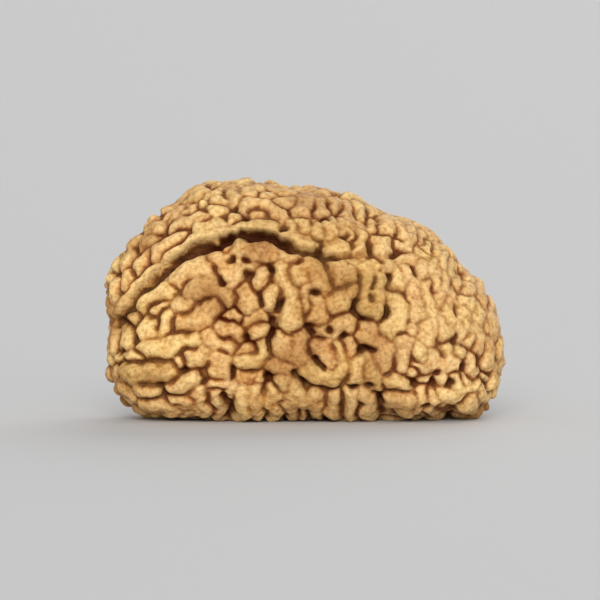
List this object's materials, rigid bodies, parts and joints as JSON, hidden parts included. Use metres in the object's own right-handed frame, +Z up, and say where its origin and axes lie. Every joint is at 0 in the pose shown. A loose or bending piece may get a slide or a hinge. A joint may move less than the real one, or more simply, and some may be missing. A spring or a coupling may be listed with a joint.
{
  "type": "rudraksha seed",
  "caption": "Half-moon rudraksha seed, tan and brown, covered in brain-like folds, with a long furrow across its front; rests on its straight lower edge.",
  "frame": {"origin": "under the middle of the seed's box, on the plane that its worn foot rests on", "axes": "+X along the seed's length, +Y into its depth away from the furrowed side, +Z up"},
  "size_m": [0.0301, 0.0153, 0.0181],
  "materials": {
    "seed_shell": "dry, slightly waxy"
  },
  "bodies": {
    "root": {"seed": "seed_shell"}
  },
  "joints": []
}
